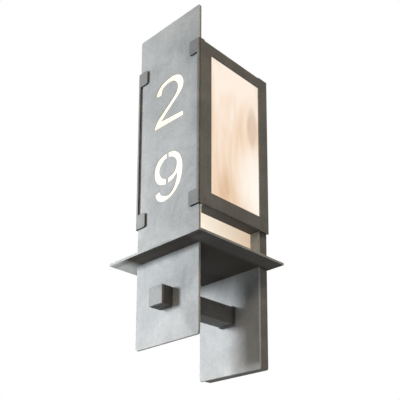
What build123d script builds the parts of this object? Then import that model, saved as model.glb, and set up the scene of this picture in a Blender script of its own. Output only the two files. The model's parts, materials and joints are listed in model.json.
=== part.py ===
# Flush mount wall sconce with a flat number plate, bent side frames and a square arm.
# Millimetres. X runs to the right, -Y to the viewer, +Z up.
# The origin is the middle of the mounting strap on the wall plane.
import os
from build123d import *

os.makedirs("parts", exist_ok=True)

# Clearances
slide_gap = 0.2
seat_gap = 0.3
shaft_gap = 0.05

# Number plate
plate_width = 127.0
plate_thickness = 3.2
plate_front_y = -138.0
plate_top_z = 254.0
plate_bottom_z = -229.0
plate_corner_r = 3.0

# Shelf
shelf_width = 185.0
shelf_thickness = 3.2
shelf_overhang = 26.5
shelf_bottom_z = -104.0
shelf_corner_r = 1.0

# Back plate and wall pan
back_side_inset = 2.5
back_thickness = 3.2
back_bottom_z = -254.0
back_corner_r = 2.5
pan_depth = 15.8
pan_inset = 1.0
pan_wall = 1.5
gasket_width = 4.0
gasket_thickness = 3.0

# Side frames
frame_height = 248.5
frame_gap_above_shelf = 51.3
frame_wall_gap = 1.5
frame_sheet = 2.0
frame_plate_gap = 1.0
frame_side_gap = 0.5
frame_bend_r = 2.4
lip_width = 4.7
tab_width = 20.5
tab_height = 21.5
tab_corner_r = 2.5
front_stile = 23.5
rear_stile = 18.0
bottom_rail = 21.5
top_rail = 17.0
flange_width = 20.5
spacer_depth = 11.0

# Glass and diffusers
glass_thickness = 3.0
diffuser_thickness = 4.0
diffuser_side_gap = 3.5
strip_thickness = 3.0
strip_lap = 5.0
angle_leg = 9.0
angle_sheet = 1.5
angle_length = 14.0
angle_side_gap = 5.5

# Glass clips
clip_sheet = 1.0
clip_width = 12.0
clip_leg = 9.0
clip_spacing = 70.0
clip_screw_flats = 5.5
clip_screw_head_height = 2.0

# Arm
arm_side = 26.4
arm_wall = 2.0
arm_z = -167.3
arm_reach = 19.0
cap_thickness = 3.0
collar_side = 28.4
collar_thickness = 6.5
plug_length = 12.0
arm_bolt_r = 3.0
bolt_head_flats = 10.0
bolt_head_height = 4.0

# Mounting strap, studs and cap nuts
strap_end_gap = 2.3
strap_width = 22.0
strap_thickness = 2.0
box_screw_spacing = 88.9
box_screw_hole_r = 2.5
stud_spacing = 69.85
stud_r = 2.1
stud_hole_r = 2.5
strap_centre_hole_r = 5.0
nut_flats = 8.7
nut_length = 8.0
ground_screw_x = 18.0
ground_screw_r = 2.0
ground_head_flats = 7.9
ground_head_height = 2.4

# Wire bushing
bushing_z = 30.0
bushing_bore_r = 6.0
bushing_hole_r = 8.0
bushing_flange_r = 10.0
bushing_flange = 1.5

# Lamp holder and its bracket
lamp_y = -66.0
bracket_width = 26.0
bracket_sheet = 1.5
bracket_top_z = -60.0
bracket_rise = 24.0
bracket_screw_x = 8.0
bracket_screw_r = 2.0
bracket_head_flats = 7.0
bracket_head_height = 2.4
holder_foot_r = 19.0
holder_rim_r = 18.0
holder_height = 37.0
holder_floor = 9.0
holder_screw_spacing = 18.0
holder_screw_r = 1.6
holder_screw_flats = 5.5
shell_thickness = 0.5
shell_room = 1.6
shell_height = 23.0
contact_length = 12.0
contact_width = 6.0
contact_sheet = 1.0
contact_rise = 2.0

# Lamp
lamp_base_r = 13.0
lamp_base_height = 21.0
lamp_insulator_height = 3.0
lamp_tip_height = 2.0
lamp_tip_r = 3.6
lamp_neck_r = 15.5
lamp_neck_height = 18.0
lamp_globe_r = 20.0
lamp_globe_height = 56.0

# Top cover
cover_sheet = 1.6
cover_edge_inset = 6.0
cover_end_gap = 1.0
cover_lip_depth = 8.0
vent_count = 5
vent_width = 4.0
vent_length = 44.0
vent_pitch = 18.0

# Heights and depths that follow from the sizes above
plate_back_y = plate_front_y + plate_thickness
shelf_top_z = shelf_bottom_z + shelf_thickness
shelf_front_y = plate_front_y - shelf_overhang
back_width = plate_width - 2 * back_side_inset
back_front_y = -(pan_depth + back_thickness)
web_rear_y = -pan_depth + pan_wall
gasket_edge = pan_inset + pan_wall + slide_gap
gasket_inner_x = back_width / 2 - gasket_edge - gasket_width
strap_half = gasket_inner_x - strap_end_gap
frame_bottom_z = shelf_top_z + frame_gap_above_shelf
frame_top_z = frame_bottom_z + frame_height
frame_inner_x = plate_width / 2 + frame_side_gap
frame_outer_x = frame_inner_x + frame_sheet
lip_rear_y = plate_front_y - frame_plate_gap
lip_front_y = lip_rear_y - frame_sheet
window_front_y = lip_front_y + front_stile
window_rear_y = -frame_wall_gap - rear_stile
window_bottom_z = frame_bottom_z + bottom_rail
window_top_z = frame_top_z - top_rail
flange_inner_x = frame_outer_x - flange_width
strip_inner_x = flange_inner_x - strip_thickness
angle_outer_x = strip_inner_x - angle_side_gap
diffuser_rear_y = plate_back_y + diffuser_thickness
diffuser_half = plate_width / 2 - diffuser_side_gap
flange_front_y = diffuser_rear_y + seat_gap
flange_rear_y = back_front_y - seat_gap
glass_inner_x = frame_inner_x - glass_thickness
flange_floor_z = frame_bottom_z + frame_sheet
flange_ceiling_z = frame_top_z - frame_sheet
arm_front_y = plate_front_y - arm_reach
holder_top_z = bracket_top_z + holder_height
holder_floor_z = bracket_top_z + holder_floor
shell_inner_r = lamp_base_r + seat_gap
shell_outer_r = shell_inner_r + shell_thickness
holder_bore_r = shell_outer_r + shell_room
lamp_tip_z = holder_floor_z + contact_sheet + contact_rise
lamp_insulator_z = lamp_tip_z + lamp_tip_height
lamp_base_z = lamp_insulator_z + lamp_insulator_height
lamp_neck_z = lamp_base_z + lamp_base_height
lamp_globe_z = lamp_neck_z + lamp_neck_height


def block(x0, x1, y0, y1, z0, z1):
    """A box between two corners."""
    size = (x1 - x0, y1 - y0, z1 - z0)
    middle = ((x0 + x1) / 2, (y0 + y1) / 2, (z0 + z1) / 2)
    return Pos(*middle) * Box(*size)


def along_y(radius, y0, y1, x, z):
    """A round bar along Y."""
    bar = Cylinder(radius, abs(y1 - y0), rotation=(90, 0, 0))
    return Pos(x, (y0 + y1) / 2, z) * bar


def along_z(radius, z0, z1, x, y):
    """A round bar along Z."""
    return Pos(x, y, (z0 + z1) / 2) * Cylinder(radius, abs(z1 - z0))


def hexagon(flats, y0, y1, x, z):
    """A six-sided bar along Y."""
    outline = RegularPolygon(flats / 2, 6, major_radius=False)
    return Pos(x, 0, z) * extrude(Plane.XZ.offset(-y1) * outline, y1 - y0)


def hexagon_up(flats, z0, z1, x, y):
    """A six-sided bar along Z."""
    outline = RegularPolygon(flats / 2, 6, major_radius=False)
    return Pos(x, y, z0) * extrude(outline, z1 - z0)


def span(start, length):
    """Low and high ends of a length that may run either way."""
    return min(start, start + length), max(start, start + length)


def front_panel(width, y0, y1, z0, z1, corner_r):
    """A flat panel that faces the viewer, with rounded corners."""
    outline = RectangleRounded(width, z1 - z0, corner_r)
    face = Plane.XZ.offset(-y1) * outline
    return Pos(0, 0, (z0 + z1) / 2) * extrude(face, y1 - y0)


def edges_at(solid, direction, x=None, y=None, z=None):
    """The straight edges along one direction at a given place."""
    found = solid.edges().filter_by(direction)
    for axis, value in ((Axis.X, x), (Axis.Y, y), (Axis.Z, z)):
        if value is not None:
            found = found.filter_by_position(axis, value - 0.01, value + 0.01)
    return found


def mirrored(shape):
    """The same shape on the left side."""
    return mirror(shape, Plane.YZ)


def lathe(points):
    """Turn a profile of (radius, height) points about the lamp's axis."""
    face = make_face(Polyline(*[(r, 0, z) for r, z in points], close=True))
    return Pos(0, lamp_y, 0) * revolve(face, Axis.Z)


def save(shape, node):
    """Write one sub-part."""
    shape.label = node
    export_step(shape, f"parts/{node}.step")


# Number plate: one flat sheet, through which the arm passes
def make_number_plate():
    plate = front_panel(plate_width, plate_front_y, plate_back_y,
                        plate_bottom_z, plate_top_z, plate_corner_r)
    half = arm_side / 2 + slide_gap
    return plate - block(-half, half, plate_front_y - 1, plate_back_y + 1,
                         arm_z - half, arm_z + half)


# Shelf: a slot takes the number plate and a rear notch takes the back plate and pan
def make_shelf():
    shelf = block(-shelf_width / 2, shelf_width / 2, shelf_front_y, 0,
                  shelf_bottom_z, shelf_top_z)
    shelf = fillet(edges_at(shelf, Axis.Z, y=shelf_front_y), shelf_corner_r)
    slot_half = plate_width / 2 + slide_gap
    shelf -= block(-slot_half, slot_half, plate_front_y - slide_gap,
                   plate_back_y + slide_gap, shelf_bottom_z - 1, shelf_top_z + 1)
    notch_half = back_width / 2 + slide_gap
    return shelf - block(-notch_half, notch_half, back_front_y - slide_gap, 1,
                         shelf_bottom_z - 1, shelf_top_z + 1)


# Holes that go through the back plate and the pan's web alike
def back_holes(y0, y1):
    holes = along_y(bushing_hole_r, y0, y1, 0, bushing_z)
    holes += along_y(arm_bolt_r + seat_gap, y0, y1, 0, arm_z)
    for side in (-1, 1):
        holes += along_y(stud_hole_r, y0, y1, side * stud_spacing / 2, 0)
        holes += along_y(bracket_screw_r + seat_gap, y0, y1, side * bracket_screw_x,
                         bracket_screw_z())
    return holes


def bracket_screw_z():
    """The height of the screws that hold the lamp bracket."""
    return bracket_top_z + bracket_rise * 0.6


def make_back_plate():
    plate = front_panel(back_width, back_front_y, back_front_y + back_thickness,
                        back_bottom_z, frame_top_z, back_corner_r)
    return plate - back_holes(back_front_y - 1, back_front_y + back_thickness + 1)


# Wall pan: a flat web behind the back plate, and a rim that stands on the wall
def make_wall_pan():
    web = front_panel(back_width - 2 * pan_inset, -pan_depth, web_rear_y,
                      back_bottom_z + pan_inset, frame_top_z - pan_inset,
                      back_corner_r)
    return web - back_holes(-pan_depth - 1, web_rear_y + 1)


def make_pan_rim():
    low = back_bottom_z + pan_inset
    high = frame_top_z - pan_inset
    width = back_width - 2 * pan_inset
    rim = front_panel(width, web_rear_y, 0, low, high, back_corner_r)
    return rim - front_panel(width - 2 * pan_wall, web_rear_y - 1, 1, low + pan_wall,
                             high - pan_wall, back_corner_r - pan_wall)


def make_pan_gasket():
    low = back_bottom_z + gasket_edge
    high = frame_top_z - gasket_edge
    width = back_width - 2 * gasket_edge
    ring = front_panel(width, -gasket_thickness, 0, low, high, 1)
    return ring - front_panel(2 * gasket_inner_x, -gasket_thickness - 1, 1,
                              low + gasket_width, high - gasket_width, 1)


# Side frame: window, inward flanges, a narrow lip and two tabs over the number plate
def make_right_side_frame():
    sheet = block(frame_inner_x, frame_outer_x, lip_front_y, -frame_wall_gap,
                  frame_bottom_z, frame_top_z)
    for low in (frame_bottom_z, flange_ceiling_z):
        sheet += block(flange_inner_x, frame_inner_x, flange_front_y, flange_rear_y,
                       low, low + frame_sheet)
    sheet += block(frame_outer_x - lip_width, frame_inner_x, lip_front_y, lip_rear_y,
                   frame_bottom_z, frame_top_z)
    for low in (frame_bottom_z, frame_top_z - tab_height):
        tab = block(frame_outer_x - tab_width, frame_inner_x, lip_front_y, lip_rear_y,
                    low, low + tab_height)
        tab = fillet(edges_at(tab, Axis.Y, x=frame_outer_x - tab_width), tab_corner_r)
        sheet += tab
    sheet -= block(frame_inner_x - 1, frame_outer_x + 1, window_front_y, window_rear_y,
                   window_bottom_z, window_top_z)
    corner = edges_at(sheet, Axis.Z, x=frame_outer_x, y=lip_front_y)
    sheet = fillet(corner, frame_bend_r)
    sheet = bent_edge(sheet, frame_bottom_z, 1)
    return bent_edge(sheet, frame_top_z, -1)


def bent_edge(sheet, z, inward):
    """Round the outer edge where a flange turns in, and leave the ears square."""
    length = flange_rear_y - flange_front_y
    middle = (flange_front_y + flange_rear_y) / 2
    centre = (frame_outer_x - frame_bend_r, middle, z + inward * frame_bend_r)
    low, high = span(z - inward, inward * (frame_bend_r + 1))
    square = block(centre[0], frame_outer_x + 1, flange_front_y, flange_rear_y, low, high)
    round_bar = Pos(*centre) * Cylinder(frame_bend_r, length, rotation=(90, 0, 0))
    return sheet - (square - round_bar)


def make_right_spacer():
    return block(back_width / 2 - pan_inset, frame_inner_x, -pan_depth, -pan_depth
                 + spacer_depth, frame_bottom_z + bottom_rail, frame_top_z - top_rail)


# Glass and diffusers
def make_right_glass():
    return block(glass_inner_x, frame_inner_x, plate_back_y + seat_gap,
                 back_front_y - seat_gap, flange_floor_z, flange_ceiling_z)


def make_front_diffuser():
    return block(-diffuser_half, diffuser_half, plate_back_y, diffuser_rear_y,
                 shelf_top_z, flange_ceiling_z)


def make_right_lower_diffuser():
    return block(strip_inner_x, flange_inner_x, diffuser_rear_y,
                 back_front_y, shelf_top_z, flange_floor_z + strip_lap)


def make_diffuser_angles():
    angles = []
    for x in (angle_length - angle_outer_x, angle_outer_x):
        foot = block(x - angle_length, x, diffuser_rear_y,
                     diffuser_rear_y + angle_leg, shelf_top_z,
                     shelf_top_z + angle_sheet)
        leg = block(x - angle_length, x, diffuser_rear_y,
                    diffuser_rear_y + angle_sheet, shelf_top_z,
                    shelf_top_z + angle_leg)
        angles.append(foot + leg)
    return Compound(children=angles)


# Glass clips: small angles that press the glass against the side frame
def clip_places():
    middle = (flange_front_y + flange_rear_y) / 2
    for y in (middle - clip_spacing / 2, middle + clip_spacing / 2):
        yield y, flange_floor_z, 1
        yield y, flange_ceiling_z, -1


def make_right_clips():
    clips = []
    for y, z, up in clip_places():
        foot_z = span(z, up * clip_sheet)
        leg_z = span(z, up * clip_leg)
        foot = block(glass_inner_x - clip_leg, glass_inner_x, y - clip_width / 2,
                     y + clip_width / 2, *foot_z)
        leg = block(glass_inner_x - clip_sheet, glass_inner_x, y - clip_width / 2,
                    y + clip_width / 2, *leg_z)
        clips.append(foot + leg)
    return clips


def make_right_clip_screws():
    screws = []
    screw_x = glass_inner_x - clip_leg / 2
    for y, z, up in clip_places():
        top = z + up * clip_sheet
        low, high = span(top, up * clip_screw_head_height)
        screws.append(hexagon_up(clip_screw_flats, low, high, screw_x, y))
    return screws


# Arm: a square tube from the back plate through the number plate
def square_tube(side, wall, y0, y1):
    half = side / 2
    inner = half - wall
    tube = block(-half, half, y0, y1, arm_z - half, arm_z + half)
    return tube - block(-inner, inner, y0 - 1, y1 + 1, arm_z - inner, arm_z + inner)


def make_arm():
    return square_tube(arm_side, arm_wall, arm_front_y + cap_thickness, back_front_y)


def make_arm_cap():
    half = arm_side / 2
    return block(-half, half, arm_front_y, arm_front_y + cap_thickness,
                 arm_z - half, arm_z + half)


def make_arm_collar():
    wall = (collar_side - arm_side) / 2 - slide_gap
    return square_tube(collar_side, wall, back_front_y - collar_thickness,
                       back_front_y)


def make_arm_plug():
    half = arm_side / 2 - arm_wall - slide_gap
    plug = block(-half, half, back_front_y - plug_length, back_front_y,
                 arm_z - half, arm_z + half)
    return plug - along_y(arm_bolt_r + shaft_gap, back_front_y - plug_length - 1,
                          back_front_y + 1, 0, arm_z)


def make_arm_bolt():
    shank = along_y(arm_bolt_r, back_front_y - plug_length, web_rear_y, 0, arm_z)
    return shank + hexagon(bolt_head_flats, web_rear_y, web_rear_y + bolt_head_height,
                           0, arm_z)


# Mounting strap on the wall box, with two studs that carry the back plate
def make_mounting_strap():
    strap = block(-strap_half, strap_half, -strap_thickness, 0, -strap_width / 2,
                  strap_width / 2)
    strap -= along_y(strap_centre_hole_r, -strap_thickness - 1, 1, 0, 0)
    strap -= along_y(ground_screw_r + shaft_gap, -strap_thickness - 1, 1,
                     ground_screw_x, 0)
    for side in (-1, 1):
        strap -= along_y(box_screw_hole_r, -strap_thickness - 1, 1,
                         side * box_screw_spacing / 2, 0)
        strap -= along_y(stud_r + shaft_gap, -strap_thickness - 1, 1,
                         side * stud_spacing / 2, 0)
    return strap


def make_ground_screw():
    shank = along_y(ground_screw_r, -strap_thickness, 0, ground_screw_x, 0)
    return shank + hexagon(ground_head_flats, -strap_thickness - ground_head_height,
                           -strap_thickness, ground_screw_x, 0)


def make_studs():
    return Compound(children=[
        along_y(stud_r, back_front_y - nut_length / 2, 0, side * stud_spacing / 2, 0)
        for side in (-1, 1)])


def make_cap_nuts():
    nuts = []
    for side in (-1, 1):
        x = side * stud_spacing / 2
        skirt = hexagon(nut_flats, back_front_y - nut_length / 2, back_front_y, x, 0)
        dome = along_y(nut_flats * 0.42, back_front_y - nut_length,
                       back_front_y - nut_length / 2, x, 0)
        bore = along_y(stud_r + shaft_gap, back_front_y - nut_length / 2,
                       back_front_y + 1, x, 0)
        nuts.append(skirt + dome - bore)
    return Compound(children=nuts)


def make_wire_bushing():
    front = back_front_y - bushing_flange
    rear = web_rear_y + bushing_flange
    body = along_y(bushing_hole_r - shaft_gap, back_front_y, rear, 0, bushing_z)
    body += along_y(bushing_flange_r, front, back_front_y, 0, bushing_z)
    return body - along_y(bushing_bore_r, front - 1, rear + 1, 0, bushing_z)


# Lamp bracket: an angle on the back plate that carries the lamp holder
def make_lamp_bracket():
    half = bracket_width / 2
    leg_y = back_front_y - bracket_sheet
    foot = block(-half, half, lamp_y - half, back_front_y,
                 bracket_top_z - bracket_sheet, bracket_top_z)
    foot = fillet(edges_at(foot, Axis.Z, y=lamp_y - half), half * 0.6)
    leg = block(-half, half, leg_y, back_front_y, bracket_top_z - bracket_sheet,
                bracket_top_z + bracket_rise)
    bracket = foot + leg
    for side in (-1, 1):
        bracket -= along_y(bracket_screw_r + seat_gap, leg_y - 1, back_front_y + 1,
                           side * bracket_screw_x, bracket_screw_z())
        bracket -= holder_screw_bar(side, holder_screw_r + shaft_gap,
                                    bracket_top_z - bracket_sheet - 1,
                                    bracket_top_z + 1)
    return bracket


def holder_screw_bar(side, radius, z0, z1):
    """A round bar where one of the lamp holder's screws runs."""
    return along_z(radius, z0, z1, side * holder_screw_spacing / 2, lamp_y)


def make_bracket_screws():
    screws = []
    seat = back_front_y - bracket_sheet
    for side in (-1, 1):
        x = side * bracket_screw_x
        shank = along_y(bracket_screw_r, seat, web_rear_y, x, bracket_screw_z())
        head = hexagon(bracket_head_flats, seat - bracket_head_height, seat, x,
                       bracket_screw_z())
        screws.append(shank + head)
    return Compound(children=screws)


def make_lampholder_body():
    body = lathe([(0, bracket_top_z), (holder_foot_r, bracket_top_z),
                  (holder_foot_r, bracket_top_z + holder_floor),
                  (holder_rim_r, bracket_top_z + holder_floor),
                  (holder_rim_r, holder_top_z), (holder_bore_r, holder_top_z),
                  (holder_bore_r, holder_floor_z), (0, holder_floor_z)])
    for side in (-1, 1):
        body -= holder_screw_bar(side, holder_screw_r + shaft_gap, bracket_top_z - 1,
                                 bracket_top_z + holder_floor * 0.7)
    return body


def make_holder_screws():
    screws = []
    seat = bracket_top_z - bracket_sheet
    for side in (-1, 1):
        shank = holder_screw_bar(side, holder_screw_r, seat,
                                 bracket_top_z + holder_floor * 0.7)
        head = hexagon_up(holder_screw_flats, seat - holder_screw_r, seat,
                          side * holder_screw_spacing / 2, lamp_y)
        screws.append(shank + head)
    return Compound(children=screws)


def make_screw_shell():
    top = holder_floor_z + shell_height
    return lathe([(shell_inner_r, holder_floor_z), (shell_outer_r, holder_floor_z),
                  (shell_outer_r, top), (shell_inner_r, top)])


def make_centre_contact():
    half = contact_width / 2
    base = block(-half, half, lamp_y - half, lamp_y - half + contact_length,
                 holder_floor_z, holder_floor_z + contact_sheet)
    raised = along_z(half, holder_floor_z, lamp_tip_z, 0, lamp_y)
    return base + raised


# Lamp: the base travels along the thread and the globe turns with it
def make_lamp_base():
    insulator_r = lamp_base_r * 0.75
    return lathe([(0, lamp_insulator_z), (insulator_r, lamp_insulator_z),
                  (insulator_r, lamp_base_z), (lamp_base_r, lamp_base_z),
                  (lamp_base_r, lamp_neck_z), (0, lamp_neck_z)])


def make_lamp_tip():
    return along_z(lamp_tip_r, lamp_tip_z, lamp_insulator_z, 0, lamp_y)


def make_lamp_neck():
    return along_z(lamp_neck_r, lamp_neck_z, lamp_globe_z, 0, lamp_y)


def make_lamp_globe():
    return along_z(lamp_globe_r, lamp_globe_z, lamp_globe_z + lamp_globe_height,
                   0, lamp_y)


# Top cover: lies on the top flanges, and its lips drop between them
def make_top_cover():
    half = frame_outer_x - cover_edge_inset
    front = plate_back_y + cover_end_gap
    rear = back_front_y - cover_end_gap
    cover = block(-half, half, front, rear, frame_top_z, frame_top_z + cover_sheet)
    lip_outer = flange_inner_x - seat_gap
    for side in (-1, 1):
        lip_x = span(side * lip_outer, -side * cover_sheet)
        cover += block(*lip_x, flange_front_y, flange_rear_y,
                       frame_top_z - cover_lip_depth, frame_top_z)
    first = -(vent_count - 1) / 2 * vent_pitch
    middle = (front + rear) / 2
    for number in range(vent_count):
        y = middle + first + number * vent_pitch
        cover -= block(-vent_length / 2, vent_length / 2, y - vent_width / 2,
                       y + vent_width / 2, frame_top_z - 1, frame_top_z + cover_sheet + 1)
    return cover


def main():
    save(make_number_plate(), "number_plate")
    save(make_shelf(), "shelf")
    save(make_back_plate(), "back_plate")
    save(make_wall_pan(), "wall_pan")
    save(make_pan_rim(), "pan_rim")
    save(make_pan_gasket(), "pan_gasket")

    for maker, name in ((make_right_side_frame, "side_frame"),
                        (make_right_spacer, "frame_spacer"),
                        (make_right_glass, "side_glass"),
                        (make_right_lower_diffuser, "lower_diffuser")):
        right = maker()
        save(right, "right_" + name)
        save(mirrored(right), "left_" + name)

    for maker, name in ((make_right_clips, "glass_clips"),
                        (make_right_clip_screws, "clip_screws")):
        right = maker()
        left = [mirrored(piece) for piece in right]
        save(Compound(children=right + left), name)

    save(make_front_diffuser(), "front_diffuser")
    save(make_diffuser_angles(), "diffuser_angles")
    save(make_arm(), "arm")
    save(make_arm_cap(), "arm_end_cap")
    save(make_arm_collar(), "arm_collar")
    save(make_arm_plug(), "arm_plug")
    save(make_arm_bolt(), "arm_bolt")
    save(make_mounting_strap(), "mounting_strap")
    save(make_ground_screw(), "ground_screw")
    save(make_studs(), "mounting_studs")
    save(make_cap_nuts(), "cap_nuts")
    save(make_wire_bushing(), "wire_bushing")
    save(make_lamp_bracket(), "lamp_bracket")
    save(make_bracket_screws(), "bracket_screws")
    save(make_lampholder_body(), "lampholder_body")
    save(make_holder_screws(), "holder_screws")
    save(make_screw_shell(), "screw_shell")
    save(make_centre_contact(), "centre_contact")
    save(make_lamp_base(), "lamp_base")
    save(make_lamp_tip(), "lamp_tip")
    save(make_lamp_neck(), "lamp_neck")
    save(make_lamp_globe(), "lamp_globe")
    save(make_top_cover(), "top_cover")


main()
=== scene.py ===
import json
import math

import bpy
from mathutils import Matrix, Vector


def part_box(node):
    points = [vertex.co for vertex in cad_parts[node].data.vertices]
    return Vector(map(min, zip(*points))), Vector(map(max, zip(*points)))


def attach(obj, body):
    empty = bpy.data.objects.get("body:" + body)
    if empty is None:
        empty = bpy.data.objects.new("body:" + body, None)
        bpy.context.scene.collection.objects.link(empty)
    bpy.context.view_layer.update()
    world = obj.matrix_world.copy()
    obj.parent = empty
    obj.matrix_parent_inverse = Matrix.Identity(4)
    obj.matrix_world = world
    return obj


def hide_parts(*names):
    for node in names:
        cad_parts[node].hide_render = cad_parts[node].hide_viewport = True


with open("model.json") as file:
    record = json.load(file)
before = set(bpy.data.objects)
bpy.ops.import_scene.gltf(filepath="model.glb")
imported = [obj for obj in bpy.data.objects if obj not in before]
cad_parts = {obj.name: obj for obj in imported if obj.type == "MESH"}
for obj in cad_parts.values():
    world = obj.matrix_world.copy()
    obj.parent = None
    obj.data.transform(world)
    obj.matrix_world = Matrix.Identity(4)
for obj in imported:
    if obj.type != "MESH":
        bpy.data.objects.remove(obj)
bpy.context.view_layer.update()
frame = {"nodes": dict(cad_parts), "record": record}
NODES = frame["nodes"]


# Places on the part that the materials and pieces go by, in metres
PLATE_LO, PLATE_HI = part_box("number_plate")
ARM_LO, ARM_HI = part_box("arm")
GLOBE_LO, GLOBE_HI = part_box("lamp_globe")
CAP_LO, CAP_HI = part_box("lamp_base")
PLATE_FRONT = PLATE_LO[1]

PHOTO_SIDE = 400
# Near-black colours for painted shade: the darker bands (partly a dark seam, partly painted
# shade), the arm's sides, the cut edges and the shelf's under side.
SEAM_AND_SHADE_DARK = (0.02, 0.02, 0.02, 1)
ARM_SHADE = (0.02, 0.019, 0.017, 1)
CUT_EDGE = (0.015, 0.014, 0.012, 1)
UNDER_SHADE = (0.034, 0.029, 0.023, 1)


# Colour
def linear(hexa, alpha=1.0):
    """A screen colour as scene-linear values."""
    out = []
    for k in (0, 2, 4):
        c = int(hexa[k:k + 2], 16) / 255
        out.append(c / 12.92 if c <= 0.04045 else ((c + 0.055) / 1.055) ** 2.4)
    return (*out, alpha)


# Node material helpers
class Tree:
    """Builds one procedural material."""

    def __init__(self, name):
        self.mat = bpy.data.materials.new(name)
        self.mat.use_nodes = True
        self.tree = self.mat.node_tree
        self.shader = self.tree.nodes["Principled BSDF"]
        self.place = self.node("ShaderNodeTexCoord").outputs["Object"]

    def node(self, kind, **settings):
        made = self.tree.nodes.new(kind)
        for key, value in settings.items():
            setattr(made, key, value)
        return made

    def feed(self, socket, value):
        if isinstance(value, bpy.types.NodeSocket):
            self.tree.links.new(value, socket)
        elif value is not None:
            socket.default_value = value

    def scaled(self, scale, shift=(0, 0, 0)):
        made = self.node("ShaderNodeMapping")
        self.feed(made.inputs["Vector"], self.place)
        made.inputs["Scale"].default_value = scale
        made.inputs["Location"].default_value = shift
        return made.outputs[0]

    def noise(self, scale, detail=4.0, rough=0.55, warp=0.0, stretch=None, shift=(0, 0, 0)):
        made = self.node("ShaderNodeTexNoise")
        where = self.scaled(stretch or (1, 1, 1), shift)
        self.feed(made.inputs["Vector"], where)
        made.inputs["Scale"].default_value = scale
        made.inputs["Detail"].default_value = detail
        made.inputs["Roughness"].default_value = rough
        made.inputs["Distortion"].default_value = warp
        return made.outputs["Fac"]

    def math(self, operation, a, b=None, c=None):
        made = self.node("ShaderNodeMath", operation=operation)
        for socket, value in zip(made.inputs, (a, b, c)):
            self.feed(socket, value)
        return made.outputs[0]

    def spread(self, value, low, high, to_low=0.0, to_high=1.0, smooth=False):
        made = self.node("ShaderNodeMapRange")
        if smooth:
            made.interpolation_type = "SMOOTHSTEP"
        for key, v in (("Value", value), ("From Min", low), ("From Max", high),
                       ("To Min", to_low), ("To Max", to_high)):
            self.feed(made.inputs[key], v)
        return made.outputs[0]

    def mix(self, amount, a, b):
        made = self.node("ShaderNodeMix", data_type="RGBA")
        self.feed(made.inputs["Factor"], amount)
        self.feed(made.inputs["A"], a)
        self.feed(made.inputs["B"], b)
        return made.outputs["Result"]

    def ramp(self, value, stops):
        made = self.node("ShaderNodeValToRGB")
        made.color_ramp.elements[0].position = stops[0][0]
        made.color_ramp.elements[0].color = stops[0][1]
        made.color_ramp.elements[1].position = stops[-1][0]
        made.color_ramp.elements[1].color = stops[-1][1]
        for spot, colour in stops[1:-1]:
            made.color_ramp.elements.new(spot).color = colour
        self.feed(made.inputs["Fac"], value)
        return made.outputs["Color"]

    def axes(self):
        made = self.node("ShaderNodeSeparateXYZ")
        self.feed(made.inputs[0], self.place)
        return made.outputs

    def worn_edges(self, radius=0.0007):
        """Soft edge normals, and a mask that is 1 along outer edges."""
        bevel = self.node("ShaderNodeBevel", samples=6)
        bevel.inputs["Radius"].default_value = radius
        face = self.node("ShaderNodeNewGeometry").outputs["Normal"]
        dot = self.node("ShaderNodeVectorMath", operation="DOT_PRODUCT")
        self.feed(dot.inputs[0], bevel.outputs[0])
        self.feed(dot.inputs[1], face)
        mask = self.spread(dot.outputs["Value"], 0.995, 0.86)
        return bevel.outputs[0], mask

    def facing(self):
        """The three parts of the face's own normal."""
        normal = self.node("ShaderNodeSeparateXYZ")
        self.feed(normal.inputs[0], self.node("ShaderNodeNewGeometry").outputs["True Normal"])
        return normal.outputs

    def sideways(self):
        """A mask of the faces that don't look to the front or the rear."""
        return self.spread(self.math("ABSOLUTE", self.facing()["Y"]), 0.6, 0.3)

    def product(self, *masks):
        """All masks multiplied."""
        out = masks[0]
        for mask in masks[1:]:
            out = self.math("MULTIPLY", out, mask)
        return out

    def under_side(self):
        """A mask of the shelf's under side for painted shade, weaker at its left and right ends.
        """
        x, _, z = self.axes()
        return self.product(self.spread(x, -0.074, -0.052),
                            self.spread(x, 0.062, 0.070, 1.0, 0.84),
                            self.spread(z, -0.16, -0.11),
                            self.spread(self.facing()["Z"], -0.4, -0.9))

    def bump(self, height, strength, distance, normal=None):
        made = self.node("ShaderNodeBump")
        self.feed(made.inputs["Height"], height)
        made.inputs["Strength"].default_value = strength
        made.inputs["Distance"].default_value = distance
        if normal is not None:
            self.feed(made.inputs["Normal"], normal)
        return made.outputs[0]

    def finish(self, **inputs):
        for key, value in inputs.items():
            self.feed(self.shader.inputs[key.replace("_", " ")], value)
        return self.mat


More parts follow.
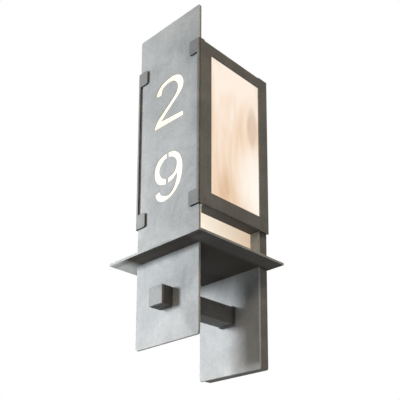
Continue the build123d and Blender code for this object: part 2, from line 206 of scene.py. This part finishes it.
def sheet_metal(name, dark, light, worn, rough, grain, shade, rear_lift=0.0, band=None,
                low_lift=0.0, cut_edges=0.0, stub=0.0):
    """Patinated sheet metal: cloudy mottle, fine speckle, faint grain and worn edges.

    Towards +X it is a little darker, painted shade as the light falls from the left. Near
    the wall it is lighter by rear_lift and below the shelf lighter by low_lift, both painted
    light. Its under side is darker by shade, painted shade. A band is two places along Y
    between which the colour is darker, and how much: partly a dark seam, partly painted
    shade. In front of the number plate the cut edges are darker by cut_edges, and the
    sides of the arm by stub, both painted shade.
    """
    t = Tree(name)
    cloud = t.noise(17, 5, 0.62, 0.6)
    speck = t.noise(330, 3, 0.7)
    streak = t.noise(60, 4, 0.65, 0.1, stretch=grain)
    tone = t.math("MULTIPLY_ADD", cloud, 0.58, t.math("MULTIPLY", speck, 0.30))
    tone = t.math("MULTIPLY_ADD", streak, 0.12, tone)
    x, y, z = t.axes()
    # Painted shade: darker towards +X, lighter towards -X.
    tone = t.math("ADD", tone, t.spread(x, -0.065, 0.065, 0.07, -0.07))
    # Painted light: lighter near the wall by rear_lift.
    tone = t.math("ADD", tone, t.spread(y, -0.030, -0.022, 0.0, rear_lift))
    # Painted light: lighter below the shelf by low_lift.
    tone = t.math("ADD", tone, t.spread(z, -0.110, -0.210, 0.0, low_lift))
    colour = t.ramp(tone, [(0.36, dark), (0.66, light), (0.96, worn)])
    # A darker band along Y: partly a dark seam, partly painted shade by the joint.
    if band:
        front, rear, amount = band
        soft_end = 0.0003
        colour = t.mix(t.product(t.spread(y, front - soft_end, front),
                                 t.spread(y, rear + soft_end, rear), amount),
                       colour, SEAM_AND_SHADE_DARK)
    soft, edge = t.worn_edges()
    patchy = t.math("MULTIPLY", edge, t.spread(speck, 0.35, 0.6, 0.25, 0.85))
    colour = t.mix(patchy, colour, worn)
    # Painted shade: the arm's sides in front of the number plate are darker by stub.
    if stub:
        ahead = t.spread(y, PLATE_FRONT, PLATE_FRONT - 0.0015)
        below_shelf = t.spread(z, -0.12, -0.125)
        colour = t.mix(t.product(t.sideways(), ahead, below_shelf, stub), colour, ARM_SHADE)
    # Painted shade: the frame's cut edges in front of the number plate are darker by cut_edges.
    if cut_edges:
        ahead = t.spread(y, PLATE_FRONT - 0.0004, PLATE_FRONT - 0.0008)
        colour = t.mix(t.product(t.sideways(), ahead, cut_edges), colour, CUT_EDGE)
    # Painted shade: the shelf's under side is darker by shade.
    under = t.under_side()
    colour = t.mix(t.math("MULTIPLY", under, shade), colour, UNDER_SHADE)
    roughness = t.spread(tone, 0.3, 0.75, rough + 0.10, rough - 0.08)
    height = t.math("MULTIPLY_ADD", streak, 0.5, speck)
    return t.finish(Base_Color=colour, Roughness=roughness,
                    Specular_IOR_Level=t.spread(under, 0.0, 1.0, 0.5, 0.12),
                    Normal=t.bump(height, 0.14, 0.0004, soft))


def small_metal(name, dark, light, worn, metallic, rough):
    """Plated small parts: turned grain, dull spots and bright edges."""
    t = Tree(name)
    cloud = t.noise(160, 4, 0.6, 0.3)
    grain = t.noise(90, 3, 0.5, stretch=(1, 1, 14))
    tone = t.math("MULTIPLY_ADD", grain, 0.4, t.math("MULTIPLY", cloud, 0.6))
    soft, edge = t.worn_edges(0.0004)
    colour = t.mix(t.math("MULTIPLY", edge, 0.7),
                   t.ramp(tone, [(0.35, dark), (0.66, light)]), worn)
    return t.finish(Base_Color=colour, Metallic=metallic,
                    Roughness=t.spread(tone, 0.3, 0.7, rough + 0.12, rough - 0.06),
                    Normal=t.bump(grain, 0.15, 0.0003, soft))


def moulded(name, dark, light, rough, scale=300, depth=0.0003, coat=0.0):
    """Plastic, foam or glaze: faint tint drift, a pitted skin and dulled edges."""
    t = Tree(name)
    drift = t.noise(40, 3)
    pits = t.noise(scale, 4, 0.65)
    soft, edge = t.worn_edges(0.0005)
    colour = t.ramp(t.math("MULTIPLY_ADD", pits, 0.4, t.math("MULTIPLY", drift, 0.6)),
                    [(0.35, dark), (0.68, light)])
    colour = t.mix(t.math("MULTIPLY", edge, 0.3), colour, light)
    return t.finish(Base_Color=colour, Coat_Weight=coat,
                    Roughness=t.spread(pits, 0.3, 0.7, rough - 0.06, rough + 0.10),
                    Normal=t.bump(pits, 0.25, depth, soft))


def far_from(t, spot, squeeze):
    """Distance from a place in the part, with each axis scaled."""
    moved = t.node("ShaderNodeVectorMath", operation="SUBTRACT")
    t.feed(moved.inputs[0], t.place)
    moved.inputs[1].default_value = spot
    pressed = t.node("ShaderNodeVectorMath", operation="MULTIPLY")
    t.feed(pressed.inputs[0], moved.outputs[0])
    pressed.inputs[1].default_value = squeeze
    length = t.node("ShaderNodeVectorMath", operation="LENGTH")
    t.feed(length.inputs[0], pressed.outputs[0])
    return length.outputs["Value"]


def art_glass(name):
    """Wispy cream and amber glass. The lamp's light through it is painted as its own glow,
    with a painted hot spot near the bulb.
    """
    t = Tree(name)
    wisp = t.noise(15, 4, 0.5, 0.5, stretch=(0.2, 2.4, 0.55))
    fine = t.noise(60, 3, 0.5, 0.3, stretch=(0.2, 2.6, 0.35))
    x, y, z = t.axes()
    # Painted light: a bright hot spot where the bulb shines through.
    near = t.spread(far_from(t, (0, -0.024, 0.012), (0, 1.0, 0.60)), 0.0, 0.060, 1, 0, True)
    high = t.spread(z, 0.07, 0.19, 0, 1, True)
    tone = t.math("MULTIPLY_ADD", fine, 0.18, t.math("MULTIPLY", wisp, 0.82))
    tone = t.math("MULTIPLY_ADD", high, 0.24, tone)
    tone = t.math("MULTIPLY_ADD", near, 0.30, tone)
    colour = t.ramp(tone, [(0.28, linear("dfbd9b")), (0.44, linear("ebcfb3")),
                           (0.60, linear("f5e0cb")), (0.76, linear("fdf0e3"))])
    upper = t.spread(far_from(t, (0, -0.033, 0.108), (0, 3.0, 1.0)), 0.018, 0.044, 1, 0, True)
    lower = t.spread(far_from(t, (0, -0.090, -0.010), (0, 3.0, 1.0)), 0.004, 0.044, 1, 0, True)
    broken = t.spread(wisp, 0.30, 0.62, 1.0, 0.45)
    colour = t.mix(t.math("MULTIPLY", upper, t.math("MULTIPLY", broken, 1.0)),
                   colour, linear("bb9c7e"))
    colour = t.mix(t.math("MULTIPLY", lower, t.math("MULTIPLY", broken, 1.0)),
                   colour, linear("cb9f70"))
    colour = t.mix(t.math("POWER", near, 1.6), colour, linear("fffaf1"))
    # Painted light: the glass glows by its own emission.
    return t.finish(Base_Color=t.mix(0.85, colour, linear("40352a")), Roughness=0.22,
                    Emission_Color=colour, Emission_Strength=0.90,
                    Normal=t.bump(t.math("ADD", wisp, fine), 0.15, 0.0005))


def lit_opal(name, cool, warm, fade, strength):
    """Opal acrylic with faint clouding, glowing by its own emission: on the numerals painted
    light from the lamp behind, on the bulb the lamp itself. Towards the rear it turns to fade,
    painted shade.
    """
    t = Tree(name)
    cloud = t.noise(22, 4, 0.6, 0.5)
    skin = t.noise(500, 3, 0.6)
    colour = t.ramp(cloud, [(0.35, cool), (0.65, warm)])
    # Painted shade: towards the rear the colour turns to fade.
    rear = t.spread(t.axes()["Y"], -0.131, -0.020)
    colour = t.mix(rear, colour, fade)
    # Painted light on the numerals: they glow by their own emission.
    return t.finish(Base_Color=t.mix(0.75, colour, linear("3a342c")),
                    Roughness=t.spread(skin, 0.3, 0.7, 0.36, 0.50),
                    Emission_Color=colour, Emission_Strength=strength,
                    Normal=t.bump(skin, 0.10, 0.0002))


GRAIN_UP = (9, 9, 0.35)
GRAIN_ALONG = (9, 0.35, 9)
MATERIALS = {
    "plate_finish": sheet_metal("plate_finish", linear("8f969b"), linear("b4babe"),
                                linear("d6dadd"), rough=0.58, grain=GRAIN_UP, shade=0.93,
                                rear_lift=0.08, band=(-0.160, -0.1530, 0.30),
                                low_lift=0.10, stub=0.5),
    "frame_finish": sheet_metal("frame_finish", linear("6d7275"), linear("8b9092"),
                                linear("aeb3b5"), rough=0.58, grain=GRAIN_UP, shade=0.6,
                                cut_edges=0.85),
    "dark_steel": sheet_metal("dark_steel", linear("515355"), linear("6c6e70"),
                              linear("8f9192"), rough=0.56, grain=GRAIN_ALONG, shade=0.0,
                              rear_lift=0.30, band=(-0.0256, -0.0190, 0.55), stub=0.6),
    "plated_steel": small_metal("plated_steel", linear("8f9296"), linear("c3c6c8"),
                                linear("e6e8ea"), 0.85, 0.34),
    "brass_nuts": small_metal("brass_nuts", linear("9c7a3c"), linear("c9a55c"),
                              linear("ecd391"), 0.9, 0.30),
    "brass_shell": small_metal("brass_shell", linear("a98642"), linear("d6b468"),
                               linear("f2dc9c"), 0.95, 0.24),
    "ground_green": small_metal("ground_green", linear("1f5c2c"), linear("3c8a49"),
                                linear("8fbf90"), 0.3, 0.38),
    "gasket_foam": moulded("gasket_foam", linear("1b1b1b"), linear("303030"), 0.85,
                           scale=700, depth=0.0006),
    "bushing_plastic": moulded("bushing_plastic", linear("161616"), linear("292929"), 0.45),
    "porcelain": moulded("porcelain", linear("e2dfd6"), linear("f3f1ea"), 0.16,
                         scale=220, depth=0.0001, coat=0.5),
    "lamp_shell": small_metal("lamp_shell", linear("9c9c98"), linear("cfcfca"),
                              linear("f0f0ec"), 0.95, 0.26),
    "lamp_housing": moulded("lamp_housing", linear("dcdcd8"), linear("f0f0ec"), 0.32),
    "art_glass": art_glass("art_glass"),
    "opal": lit_opal("opal", linear("f8edda"), linear("fff9ec"), linear("d9c1a6"), 0.93),
    "lamp_glow": lit_opal("lamp_glow", linear("fff3dd"), linear("fffaf0"), linear("fff6e6"), 1.0),
}

for part in frame["record"]["subparts"]:
    node = NODES[part["node"]]
    node.data.materials.clear()
    node.data.materials.append(MATERIALS[part["material_slot"]])


def mm(*values):
    """Millimetres as metres."""
    return tuple(v / 1000 for v in values)


def add(name, mesh, slot, body="root", instead_of=()):
    """Links a new piece, gives it a material and ties it to the frame."""
    made = bpy.data.objects.new(name, mesh)
    bpy.context.scene.collection.objects.link(made)
    made.data.materials.clear()
    made.data.materials.append(MATERIALS[slot])
    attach(made, body)
    if instead_of:
        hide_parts(*instead_of)
    return made


# Number plate with its stencil numerals cut through
def smooth(points, sharp, steps=5):
    """A closed outline through the points, rounded except at the sharp ones."""
    out = []
    n = len(points)
    for i in range(n):
        p0, p1, p2, p3 = (Vector(points[(i + k) % n]) for k in (-1, 0, 1, 2))
        if i in sharp:
            p0 = p1 - (p2 - p1)
        if (i + 1) % n in sharp:
            p3 = p2 + (p2 - p1)
        for s in range(steps):
            t = s / steps
            slope = (p2 - p0) * t
            bend = (2 * p0 - 5 * p1 + 4 * p2 - p3) * t * t
            twist = (3 * p1 - p0 - 3 * p2 + p3) * t ** 3
            out.append(0.5 * (2 * p1 + slope + bend + twist))
    return out


# Outlines of the numerals in mm, on the plate's X and Z
TWO = [
    (-27.9, 146.6), (-24.6, 155.4), (-15.9, 162.3), (-3.4, 165.8), (9.5, 166.4),
    (21, 162.2), (28.6, 153.6), (30.2, 143.9), (25.2, 134.8), (9.1, 122.8), (-6, 111.9),
    (-15.3, 103.9), (29.7, 102.2), (30.1, 95.0), (-28.9, 94.7), (-31.0, 97.0),
    (-24.4, 107.3), (-9.2, 118.6), (3.9, 127.3), (14.2, 135.6), (18.6, 145.0),
    (15.3, 153.6), (8.3, 158.2), (-3, 158.8), (-13.4, 154.6), (-17.1, 145.3),
]
NINE_LEFT = [
    (-3, 48.6), (-13.5, 47), (-23.8, 40.9), (-28.9, 30), (-28, 16.9), (-19, 6), (-4.9, 1.8),
    (-4.6, 9.8), (-13, 14), (-18.3, 22.6), (-17.2, 31.6), (-10.4, 38.6), (-2.8, 41.9),
]
NINE_RIGHT = [
    (0.3, 49.2), (11.8, 46.9), (22, 39.7), (28.2, 28.2), (29.6, 14.4), (26.3, -0.6),
    (18.2, -12), (5.5, -20.1), (-9.2, -22.7), (-21.2, -17.9), (-27.6, -7.6), (-18.6, -4.8),
    (-13.2, -12.4), (-0.1, -16), (10.9, -9.9), (17.1, 1.5), (18.7, 11.7), (10.2, 5.3),
    (0.2, 2.4), (0.1, 10.4), (11.2, 13.9), (17, 22), (16.6, 32), (10.2, 38.7), (0.3, 42.2),
]
# Each outline with the numbers of its sharp points
NUMERALS = ((TWO, {0, 11, 12, 13, 14, 25}), (NINE_LEFT, {0, 6, 7, 12}),
            (NINE_RIGHT, {0, 10, 11, 16, 18, 19, 24}))


def rounded(x0, x1, z0, z1, r, steps):
    """A rectangle's outline with rounded corners."""
    out = []
    for cx, cz, start in ((x1 - r, z1 - r, 0), (x0 + r, z1 - r, 90),
                          (x0 + r, z0 + r, 180), (x1 - r, z0 + r, 270)):
        for k in range(steps + 1):
            a = math.radians(start + 90 * k / steps)
            out.append((cx + r * math.cos(a), cz + r * math.sin(a)))
    return out


def cut_sheet(name, outlines, y_front, y_rear):
    """A flat sheet facing -Y: the first outline in mm is its edge and the rest are cut out."""
    curve = bpy.data.curves.new(name, "CURVE")
    curve.dimensions = "2D"
    curve.fill_mode = "BOTH"
    curve.extrude = (y_rear - y_front) / 2
    for outline in outlines:
        spline = curve.splines.new("POLY")
        spline.points.add(len(outline) - 1)
        spline.use_cyclic_u = True
        for point, (x, z) in zip(spline.points, outline):
            point.co = (x / 1000, z / 1000, 0, 1)
    holder = bpy.data.objects.new(name, curve)
    bpy.context.scene.collection.objects.link(holder)
    bpy.context.view_layer.update()
    mesh = bpy.data.meshes.new_from_object(holder.evaluated_get(
        bpy.context.evaluated_depsgraph_get()))
    bpy.data.objects.remove(holder)
    middle = (y_front + y_rear) / 2
    for v in mesh.vertices:
        v.co = (v.co.x, middle - v.co.z, v.co.y)
    mesh.flip_normals()
    return mesh


def outline_round(low, high, gap, corner, steps):
    """A box's outline seen from the front, in mm, wider by gap on each side."""
    return rounded(low[0] * 1000 - gap, high[0] * 1000 + gap,
                   low[2] * 1000 - gap, high[2] * 1000 + gap, corner, steps)


PLATE_CORNER_MM = 3.0
ARM_GAP_MM = 0.2
ARM_CORNER_MM = 0.3
FILL_RECESS = 0.0006
FILL_REAR_GAP = 0.0001

glyphs = [smooth(points, sharp) for points, sharp in NUMERALS]
cuts = [outline_round(PLATE_LO, PLATE_HI, 0, PLATE_CORNER_MM, 8),
        outline_round(ARM_LO, ARM_HI, ARM_GAP_MM, ARM_CORNER_MM, 2), *glyphs]
add("number_plate_cut", cut_sheet("number_plate_cut", cuts, PLATE_LO[1], PLATE_HI[1]),
    "plate_finish", instead_of=("number_plate",))
for number, glyph in enumerate(glyphs):
    name = f"numeral_fill_{number}"
    add(name, cut_sheet(name, [glyph], PLATE_LO[1] + FILL_RECESS, PLATE_HI[1] - FILL_REAR_GAP),
        "opal")


# Bulb: a rolled thread on its cap and a rounded glass end
def turned(name, heights, radius_at, steps=40):
    """A closed mesh round the lamp's axis; radius_at(z, turn) gives the radius."""
    x0, y0 = ((GLOBE_LO[k] + GLOBE_HI[k]) / 2 for k in (0, 1))
    verts, faces = [], []
    for z in heights:
        for k in range(steps):
            a = 2 * math.pi * k / steps
            r = radius_at(z, k / steps)
            verts.append((x0 + r * math.cos(a), y0 + r * math.sin(a), z))
    for row in range(len(heights) - 1):
        for k in range(steps):
            here, beside = row * steps + k, row * steps + (k + 1) % steps
            faces.append((here, beside, beside + steps, here + steps))
    faces.append(tuple(reversed(range(steps))))
    faces.append(tuple(range(len(verts) - steps, len(verts))))
    mesh = bpy.data.meshes.new(name)
    mesh.from_pydata(verts, [], faces)
    mesh.shade_smooth()
    return mesh


globe_r = (GLOBE_HI[0] - GLOBE_LO[0]) / 2
end_r = 0.017
foot_r = 0.004
tip_open = 0.9985


def globe_radius(z, _turn):
    """A straight tube with a domed top and a small curve at its foot."""
    over = min(max(0.0, z - (GLOBE_HI[2] - end_r)) / end_r, tip_open)
    under = max(0.0, GLOBE_LO[2] + foot_r - z) / foot_r
    return (globe_r * math.sqrt(1 - over ** 2)
            - foot_r * (1 - math.sqrt(max(0.0, 1 - under ** 2))))


foot = [GLOBE_LO[2] + foot_r * (1 - math.cos(math.radians(a))) for a in range(0, 91, 15)]
dome = [GLOBE_HI[2] - end_r + end_r * math.sin(math.radians(a)) for a in range(0, 91, 6)]
add("lamp_globe_domed", turned("lamp_globe_domed", foot + dome, globe_radius), "lamp_glow",
    body="lamp_bulb", instead_of=("lamp_globe",))

cap_r = (CAP_HI[0] - CAP_LO[0]) / 2
thread_pitch = 0.0254 / 7
thread_depth = 0.0011
thread_rows = 8
plain_end = 0.003
step = 1e-5
insulator_top = CAP_LO[2] + plain_end
thread_top = CAP_HI[2] - plain_end


def cap_radius(z, turn):
    """The rolled thread between a plain insulator and a plain collar."""
    if z < insulator_top:
        return cap_r * 0.75
    if z > thread_top:
        return cap_r
    wave = 0.5 + 0.5 * math.cos(2 * math.pi * (z / thread_pitch - turn))
    return cap_r - thread_depth * (1 - wave)


turns = (thread_top - insulator_top) / thread_pitch
rows = [CAP_LO[2], insulator_top - step]
rows += [insulator_top + thread_pitch * k / thread_rows
         for k in range(int(turns * thread_rows) + 1)]
rows += [thread_top + step, CAP_HI[2]]
add("lamp_base_threaded", turned("lamp_base_threaded", rows, cap_radius), "lamp_shell",
    body="lamp_screw", instead_of=("lamp_base",))


# Stage
def area_light(name, place, target, size, power, colour, spread):
    """A rectangular lamp at a place, aimed at a target, with its spread in degrees."""
    data = bpy.data.lights.new(name, "AREA")
    data.shape = "RECTANGLE"
    data.size, data.size_y = size
    data.energy = power
    data.color = colour
    data.spread = math.radians(spread)
    made = bpy.data.objects.new(name, data)
    bpy.context.scene.collection.objects.link(made)
    made.location = place
    made.rotation_mode = "QUATERNION"
    aim = Vector(target) - Vector(place)
    made.rotation_quaternion = aim.to_track_quat("-Z", "Y")
    return made


def floor(half, height, glow):
    """A pale matt floor, lighter by glow where the camera sees it directly."""
    mesh = bpy.data.meshes.new("floor")
    mesh.from_pydata([(-half, -half, 0), (half, -half, 0), (half, half, 0), (-half, half, 0)],
                     [], [(0, 1, 2, 3)])
    made = bpy.data.objects.new("floor", mesh)
    bpy.context.scene.collection.objects.link(made)
    made.location = (0, 0, height)
    t = Tree("floor_matt")
    grain = t.noise(30, 3)
    pale = t.ramp(grain, [(0.3, linear("efefee")), (0.7, linear("f6f6f5"))])
    seen_directly = t.node("ShaderNodeLightPath").outputs["Is Camera Ray"]
    mesh.materials.append(t.finish(
        Base_Color=pale, Roughness=0.9, Emission_Color=pale,
        Emission_Strength=t.math("MULTIPLY", seen_directly, glow),
        Normal=t.bump(grain, 0.05, 0.001)))
    return made


floor(half=6, height=-1.1, glow=0.62)

# World: white to the camera and through glass, a weak warm fill to all else
world = bpy.data.worlds.new("studio")
bpy.context.scene.world = world
world.use_nodes = True
wt = world.node_tree
wt.nodes.clear()
seen = wt.nodes.new("ShaderNodeBackground")
seen.inputs["Color"].default_value = (1, 1, 1, 1)
seen.inputs["Strength"].default_value = 1.0
fill = wt.nodes.new("ShaderNodeBackground")
fill.inputs["Color"].default_value = (1.0, 0.92, 0.83, 1)
fill.inputs["Strength"].default_value = 0.15
path = wt.nodes.new("ShaderNodeLightPath")
either = wt.nodes.new("ShaderNodeMath")
either.operation = "MAXIMUM"
wt.links.new(path.outputs["Is Camera Ray"], either.inputs[0])
wt.links.new(path.outputs["Is Transmission Ray"], either.inputs[1])
blend = wt.nodes.new("ShaderNodeMixShader")
wt.links.new(either.outputs[0], blend.inputs["Fac"])
wt.links.new(fill.outputs[0], blend.inputs[1])
wt.links.new(seen.outputs[0], blend.inputs[2])
wt.links.new(blend.outputs[0], wt.nodes.new("ShaderNodeOutputWorld").inputs["Surface"])

# Lamps
centre = (0, -0.08, -0.05)
area_light("key", (-0.85, -1.25, 0.07), centre, (0.30, 0.40), 7.7, (1.0, 1.0, 1.0), 110)
area_light("side", (0.95, -0.55, 0.85), (0, -0.08, 0.05), (0.5, 0.5), 1.3, (1.0, 0.76, 0.52), 70)
area_light("low_side", (1.0, 0.15, -0.30), (0.03, -0.06, -0.16), (0.3, 0.3), 0.12,
           (1.0, 0.88, 0.74), 50)
area_light("kicker", (-0.25, -0.20, -0.26), (-0.10, -0.16, -0.104), (0.06, 0.06), 0.05,
           (1.0, 0.98, 0.94), 60)
area_light("floor_bounce", (0.25, -0.35, -0.95), (0, -0.03, -0.25), (0.4, 0.4), 0.3,
           (1.0, 0.96, 0.90), 80)

# Camera, solved from the photograph's straight edges: angles in degrees, then the
# picture's axis and focal length in pixels of the photograph
YAW, PITCH, ROLL = (math.radians(a) for a in (39.21, 11.32, -1.31))
AXIS_X, AXIS_Y, FOCAL = 296.2, 398.8, 724.6
forward = Vector((-math.sin(YAW) * math.cos(PITCH), math.cos(YAW) * math.cos(PITCH),
                  math.sin(PITCH)))
level = forward.cross(Vector((0, 0, 1))).normalized()
upright = level.cross(forward)
right = math.cos(ROLL) * level + math.sin(ROLL) * upright
up = -math.sin(ROLL) * level + math.cos(ROLL) * upright
camera_data = bpy.data.cameras.new("camera")
camera_data.sensor_width = 36.0
camera_data.clip_start = 0.01
camera = bpy.data.objects.new("camera", camera_data)
bpy.context.scene.collection.objects.link(camera)

# The photograph is cropped off its axis. A slanted stand does what a shift lens would,
# and views from other sides, which leave the stand, stay centred on the part.
slant = Matrix.Identity(4)
slant[0][2] = (AXIS_X - PHOTO_SIDE / 2) / FOCAL
slant[1][2] = (PHOTO_SIDE / 2 - AXIS_Y) / FOCAL
length_px = FOCAL * slant.col[2].to_3d().length
camera_data.lens = length_px / PHOTO_SIDE * camera_data.sensor_width
turn = Matrix((right, up, -forward)).transposed().to_4x4()
stand = bpy.data.objects.new("camera_stand", None)
bpy.context.scene.collection.objects.link(stand)
camera.parent = stand
camera.matrix_parent_inverse = Matrix.Translation(mm(722.6, -751.1, -495.7)) @ turn @ slant
bpy.context.scene.camera = camera
bpy.context.scene.view_settings.view_transform = "Standard"
